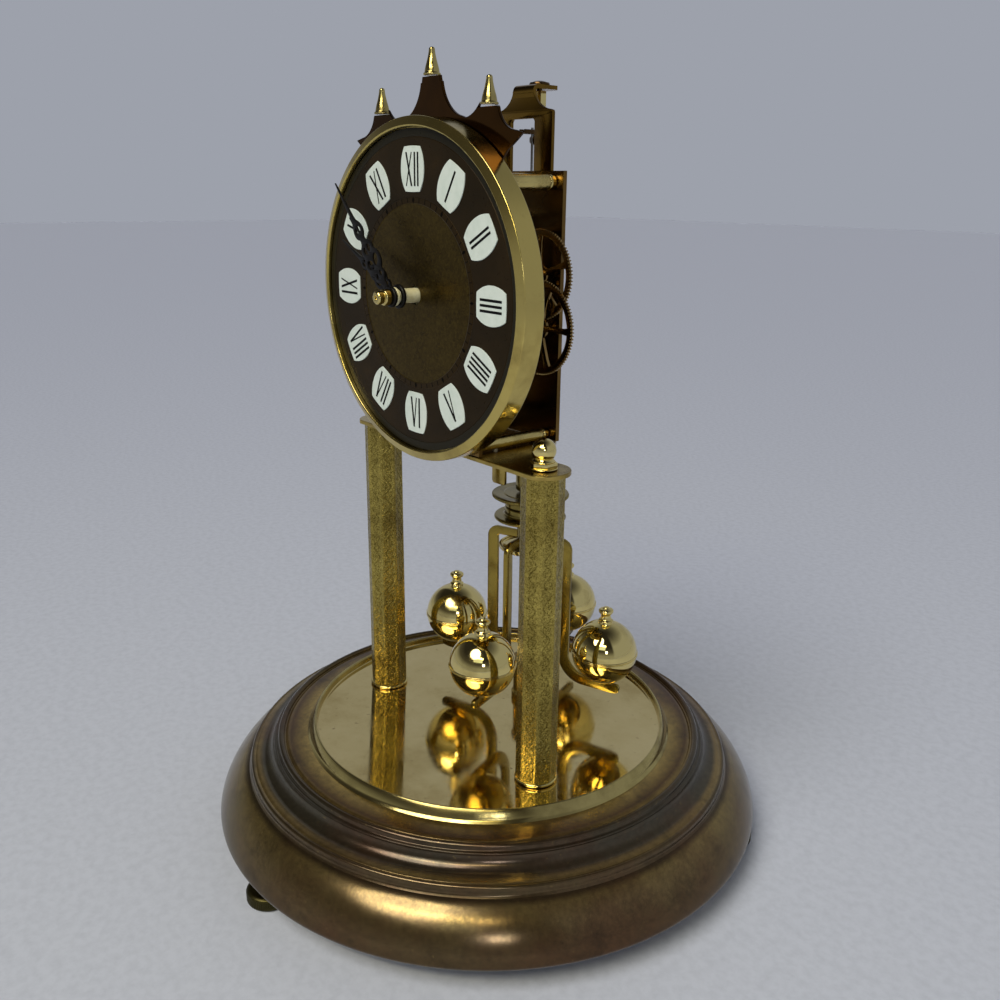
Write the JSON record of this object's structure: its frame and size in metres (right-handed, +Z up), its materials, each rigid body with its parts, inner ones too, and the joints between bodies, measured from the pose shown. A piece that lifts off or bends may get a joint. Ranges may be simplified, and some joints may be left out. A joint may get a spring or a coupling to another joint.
{
  "type": "anniversary clock",
  "caption": "Torsion-pendulum mantel clock: round bronze base, two pillars, brass movement, round Roman dial, three-spire crown and four revolving balls.",
  "frame": {"origin": "point on the ground below the centre of the round base", "axes": "+Z up; the dial faces -Y, and +X is at the right of someone who reads the dial"},
  "size_m": [0.1898, 0.1899, 0.2532],
  "materials": {
    "polished_brass": "polished",
    "satin_brass": "satin",
    "brown_lacquer": "brown lacquer",
    "dark_bronze": "tarnished",
    "steel": "satin",
    "blackened_steel": "black",
    "dial_brown": "dark brown"
  },
  "bodies": {
    "clock_frame": {"base_shell": "brown_lacquer", "base_deck": "polished_brass", "guide_cup": "satin_brass", "pillar_left": "satin_brass", "pillar_right": "satin_brass", "pillar_nut_left": "polished_brass", "pillar_nut_right": "polished_brass", "platform": "satin_brass", "platform_screw_left": "steel", "platform_screw_right": "steel", "front_plate": "satin_brass", "back_plate": "satin_brass", "post_lower_left": "satin_brass", "post_lower_right": "satin_brass", "post_upper_left": "satin_brass", "post_upper_right": "satin_brass", "click_spring": "steel", "dial": "dial_brown", "bezel": "polished_brass", "crown": "dark_bronze", "crown_finial_left": "polished_brass", "crown_finial_centre": "polished_brass", "crown_finial_right": "polished_brass", "suspension_bracket": "satin_brass", "saddle_screw": "dark_bronze", "top_block": "polished_brass", "suspension_spring": "steel", "guard_bracket": "satin_brass"},
    "pendulum": {"bottom_block": "polished_brass", "pendulum_hub": "satin_brass", "dish": "polished_brass", "cross_frame_a": "satin_brass", "cross_frame_b": "satin_brass", "ball_1": "polished_brass", "ball_2": "polished_brass", "ball_3": "polished_brass", "ball_4": "polished_brass"},
    "rating_nut": {"rating_disc": "satin_brass"},
    "fork_body": {"fork": "dark_bronze"},
    "anchor_body": {"anchor": "steel"},
    "minute_body": {"centre_wheel": "satin_brass", "cannon_pinion": "steel", "minute_hand": "blackened_steel", "hand_nut": "polished_brass"},
    "hour_body": {"hour_wheel": "satin_brass", "hour_hand": "blackened_steel"},
    "minute_wheel_body": {"minute_wheel": "satin_brass"},
    "second_wheel_body": {"second_wheel": "dark_bronze"},
    "first_wheel_body": {"first_wheel": "dark_bronze"},
    "barrel_body": {"barrel": "dark_bronze", "barrel_cap": "satin_brass", "mainspring": "steel"},
    "third_wheel_body": {"third_wheel": "satin_brass"},
    "escape_wheel_body": {"escape_wheel": "polished_brass"},
    "winding_body": {"winding_arbor": "steel", "ratchet_wheel": "steel"},
    "click_body": {"click": "steel"},
    "foot_1_body": {"levelling_foot_1": "dark_bronze"},
    "foot_2_body": {"levelling_foot_2": "dark_bronze"},
    "foot_3_body": {"levelling_foot_3": "dark_bronze"}
  },
  "joints": [
    {"name": "pendulum_turn", "type": "hinge", "parent": "clock_frame", "child": "pendulum", "pos_m": [0, 0.01817, 0.1163], "axis": [0, 0, 1], "range_deg": [-150, 150], "stiffness_Nm_per_rad": 0.00015},
    {"name": "fork_turn", "type": "hinge", "parent": "clock_frame", "child": "fork_body", "pos_m": [0, 0.01817, 0.2312], "axis": [0, 0, 1], "range_deg": [-16, 16]},
    {"name": "anchor_rock", "type": "hinge", "parent": "clock_frame", "child": "anchor_body", "pos_m": [0, 0, 0.20805], "axis": [0, 1, 0], "range_deg": [-3, 3]},
    {"name": "rating_turn", "type": "hinge", "parent": "pendulum", "child": "rating_nut", "pos_m": [0, 0.01817, 0.113], "axis": [0, 0, 1], "range_deg": [-180, 180]},
    {"name": "minute_turn", "type": "hinge", "parent": "clock_frame", "child": "minute_body", "pos_m": [0, 0, 0.1854], "axis": [0, 1, 0], "continuous": true},
    {"name": "hour_turn", "type": "hinge", "parent": "clock_frame", "child": "hour_body", "pos_m": [0, -0.03, 0.1854], "axis": [0, 1, 0], "continuous": true},
    {"name": "minute_wheel_turn", "type": "hinge", "parent": "clock_frame", "child": "minute_wheel_body", "pos_m": [-0.00598, -0.025, 0.18261], "axis": [0, 1, 0], "continuous": true},
    {"name": "second_wheel_turn", "type": "hinge", "parent": "clock_frame", "child": "second_wheel_body", "pos_m": [0.0142, 0, 0.19062], "axis": [0, 1, 0], "continuous": true},
    {"name": "first_wheel_turn", "type": "hinge", "parent": "clock_frame", "child": "first_wheel_body", "pos_m": [0.0166, 0, 0.1749], "axis": [0, 1, 0], "continuous": true},
    {"name": "barrel_turn", "type": "hinge", "parent": "clock_frame", "child": "barrel_body", "pos_m": [-0.0042, 0, 0.164], "axis": [0, 1, 0], "continuous": true},
    {"name": "third_wheel_turn", "type": "hinge", "parent": "clock_frame", "child": "third_wheel_body", "pos_m": [-0.00546, 0, 0.1932], "axis": [0, 1, 0], "continuous": true},
    {"name": "escape_wheel_turn", "type": "hinge", "parent": "clock_frame", "child": "escape_wheel_body", "pos_m": [0, 0, 0.19904], "axis": [0, 1, 0], "continuous": true},
    {"name": "winding_turn", "type": "hinge", "parent": "clock_frame", "child": "winding_body", "pos_m": [-0.0042, 0.012, 0.164], "axis": [0, 1, 0], "continuous": true},
    {"name": "click_lift", "type": "hinge", "parent": "clock_frame", "child": "click_body", "pos_m": [0.00545, 0.012, 0.16914], "axis": [0, 1, 0], "range_deg": [0, 7], "stiffness_Nm_per_rad": 0.001, "springref_deg": -17.19},
    {"name": "foot_1_turn", "type": "hinge", "parent": "clock_frame", "child": "foot_1_body", "pos_m": [-0.00305, -0.08745, 0.002], "axis": [0, 0, 1], "range_deg": [-360, 360]},
    {"name": "foot_2_turn", "type": "hinge", "parent": "clock_frame", "child": "foot_2_body", "pos_m": [0.07211, 0.04956, 0.002], "axis": [0, 0, 1], "range_deg": [-360, 360]},
    {"name": "foot_3_turn", "type": "hinge", "parent": "clock_frame", "child": "foot_3_body", "pos_m": [-0.06848, 0.05447, 0.002], "axis": [0, 0, 1], "range_deg": [-360, 360]}
  ],
  "couplings": [
    {"joint": "fork_turn", "follows": "pendulum_turn", "ratio": 0.1},
    {"joint": "anchor_rock", "follows": "pendulum_turn", "ratio": 0.01302},
    {"joint": "hour_turn", "follows": "minute_turn", "ratio": 0.083333},
    {"joint": "minute_wheel_turn", "follows": "minute_turn", "ratio": -0.33333},
    {"joint": "second_wheel_turn", "follows": "minute_turn", "ratio": -0.11905},
    {"joint": "first_wheel_turn", "follows": "minute_turn", "ratio": 0.013228},
    {"joint": "barrel_turn", "follows": "minute_turn", "ratio": -0.0022046},
    {"joint": "third_wheel_turn", "follows": "minute_turn", "ratio": -6},
    {"joint": "escape_wheel_turn", "follows": "minute_turn", "ratio": 24}
  ]
}
